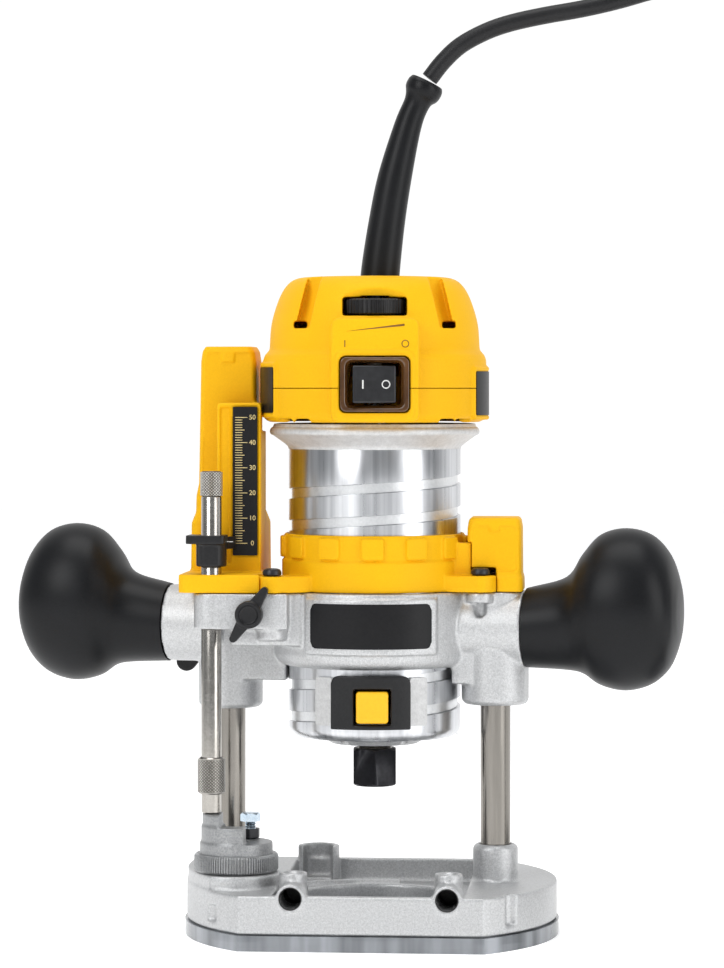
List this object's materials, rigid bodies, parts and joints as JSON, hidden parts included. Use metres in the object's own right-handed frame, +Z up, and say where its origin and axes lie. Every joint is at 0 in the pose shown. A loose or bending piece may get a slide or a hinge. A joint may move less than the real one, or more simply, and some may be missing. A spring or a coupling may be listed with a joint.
{
  "type": "plunge router",
  "caption": "Electric plunge router: a round motor clamped in a handled carriage that slides on posts over a flat-sided base, with a stepped depth stop and a cord",
  "frame": {"origin": "centre of the tool's footprint, on the plane the sole stands on", "axes": "+Z up along the spindle and the posts, -Y to the front with the switch and the label, +X to the tool's right as its front is seen"},
  "size_m": [0.4222, 0.159, 0.382],
  "materials": {
    "cast_aluminium": "as-cast, lightly blasted",
    "turned_aluminium": "turned, bright",
    "polished_steel": "ground and polished",
    "zinc_plated": "bluish zinc plating",
    "screw_steel": "plain steel",
    "spring_steel": "oiled spring wire",
    "black_oxide": "black oxide",
    "laminated_iron": "stacked laminations",
    "brass": "plain",
    "bronze_bush": "sintered bronze",
    "yellow_plastic": "satin moulded ABS",
    "yellow_button": "satin",
    "black_plastic": "fine-grained",
    "soft_rubber": "soft, dark satin",
    "amber_boot": "translucent soft amber moulding",
    "clear_polycarbonate": "clear, slightly bluish moulding"
  },
  "bodies": {
    "base": {"sub_base": "clear_polycarbonate", "base_casting": "cast_aluminium", "left_post": "polished_steel", "right_post": "polished_steel", "left_spring": "spring_steel", "right_spring": "spring_steel", "sub_base_screw_1": "screw_steel", "sub_base_screw_2": "screw_steel", "sub_base_screw_3": "screw_steel", "fence_rod_screw_left": "screw_steel", "fence_rod_screw_right": "screw_steel", "turret_pivot_screw": "screw_steel", "cord_lead": "soft_rubber", "cord_coil": "soft_rubber", "plug": "soft_rubber"},
    "turret": {"depth_turret": "cast_aluminium", "turret_stop_screw": "zinc_plated", "turret_lock_nut": "black_oxide"},
    "carriage": {"carriage_casting": "cast_aluminium", "collar_cover": "yellow_plastic", "scale_tower": "yellow_plastic", "right_tower": "yellow_plastic", "left_bush": "bronze_bush", "right_bush": "bronze_bush", "left_handle": "soft_rubber", "right_handle": "soft_rubber", "depth_scale": "black_plastic", "label_plate": "black_plastic", "collar_screw_left": "black_oxide", "collar_screw_right": "black_oxide", "clamp_bolt": "zinc_plated", "latch_pin": "polished_steel", "lock_bolt": "screw_steel", "motor_can": "turned_aluminium", "bearing_cover": "cast_aluminium", "cap_lower": "yellow_plastic", "cap_upper": "yellow_plastic", "switch_frame": "amber_boot", "stator": "laminated_iron", "brush_left": "brass", "brush_right": "brass", "front_bearing": "polished_steel", "rear_bearing": "polished_steel", "lock_housing": "black_plastic", "cord_boot": "soft_rubber"},
    "stop_rod": {"depth_rod": "polished_steel"},
    "stop_pointer": {"pointer": "black_plastic"},
    "stop_adjuster": {"fine_adjuster": "polished_steel"},
    "lock_lever": {"plunge_lock_lever": "black_plastic"},
    "rod_clamp": {"wing_knob": "black_plastic"},
    "motor_latch": {"clamp_latch": "black_plastic"},
    "switch": {"rocker": "black_plastic"},
    "speed_wheel": {"speed_dial": "black_plastic"},
    "spindle_lock": {"lock_button": "yellow_button"},
    "rotor": {"spindle": "polished_steel", "collet": "polished_steel", "collet_nut": "black_oxide", "cooling_fan": "black_plastic", "armature": "laminated_iron", "commutator": "brass"}
  },
  "joints": [
    {"name": "plunge", "type": "slide", "parent": "base", "child": "carriage", "axis": [0, 0, 1], "range_m": [-0.055, 0], "stiffness_N_per_m": 700, "springref_m": 0.09, "deforming": ["left_spring", "right_spring", "cord_lead"]},
    {"name": "rod_slide", "type": "slide", "parent": "carriage", "child": "stop_rod", "axis": [0, 0, 1], "range_m": [0, 0.055]},
    {"name": "pointer_slide", "type": "slide", "parent": "stop_rod", "child": "stop_pointer", "axis": [0, 0, 1], "range_m": [0, 0.012]},
    {"name": "adjuster_turn", "type": "hinge", "parent": "stop_rod", "child": "stop_adjuster", "pos_m": [-0.05064, -0.03015, 0.06], "axis": [0, 0, 1], "continuous": true},
    {"name": "rod_clamp_turn", "type": "hinge", "parent": "carriage", "child": "rod_clamp", "pos_m": [-0.03464, -0.03705, 0.1287], "axis": [0, 1, 0], "range_deg": [-90, 60]},
    {"name": "turret_turn", "type": "hinge", "parent": "base", "child": "turret", "pos_m": [-0.04114, -0.02715, 0.03], "axis": [0, 0, 1], "continuous": true},
    {"name": "lock_lever_turn", "type": "hinge", "parent": "carriage", "child": "lock_lever", "pos_m": [-0.05464, 0.02955, 0.125], "axis": [0, 1, 0], "range_deg": [0, 15], "stiffness_Nm_per_rad": 0.05},
    {"name": "latch_open", "type": "hinge", "parent": "carriage", "child": "motor_latch", "pos_m": [0.02836, 0.04685, 0.1215], "axis": [0, 0, -1], "range_deg": [0, 100]},
    {"name": "switch_rock", "type": "hinge", "parent": "carriage", "child": "switch", "pos_m": [0.01485, -0.04251, 0.2187], "axis": [0, 0, -1], "range_deg": [0, 14]},
    {"name": "speed_turn", "type": "hinge", "parent": "carriage", "child": "speed_wheel", "pos_m": [0.01366, -0.02736, 0.249], "axis": [0, 0, 1], "range_deg": [0, 300]},
    {"name": "spindle_lock_push", "type": "slide", "parent": "carriage", "child": "spindle_lock", "axis": [-0.0785, 0.9969, 0], "range_m": [0, 0.0035], "stiffness_N_per_m": 250, "springref_m": -0.003},
    {"name": "spindle_spin", "type": "hinge", "parent": "carriage", "child": "rotor", "pos_m": [0.01136, 0.00185, 0.1], "axis": [0, 0, 1], "continuous": true}
  ],
  "couplings": [
    {"joint": "rod_slide", "follows": "plunge", "ratio": -1}
  ]
}
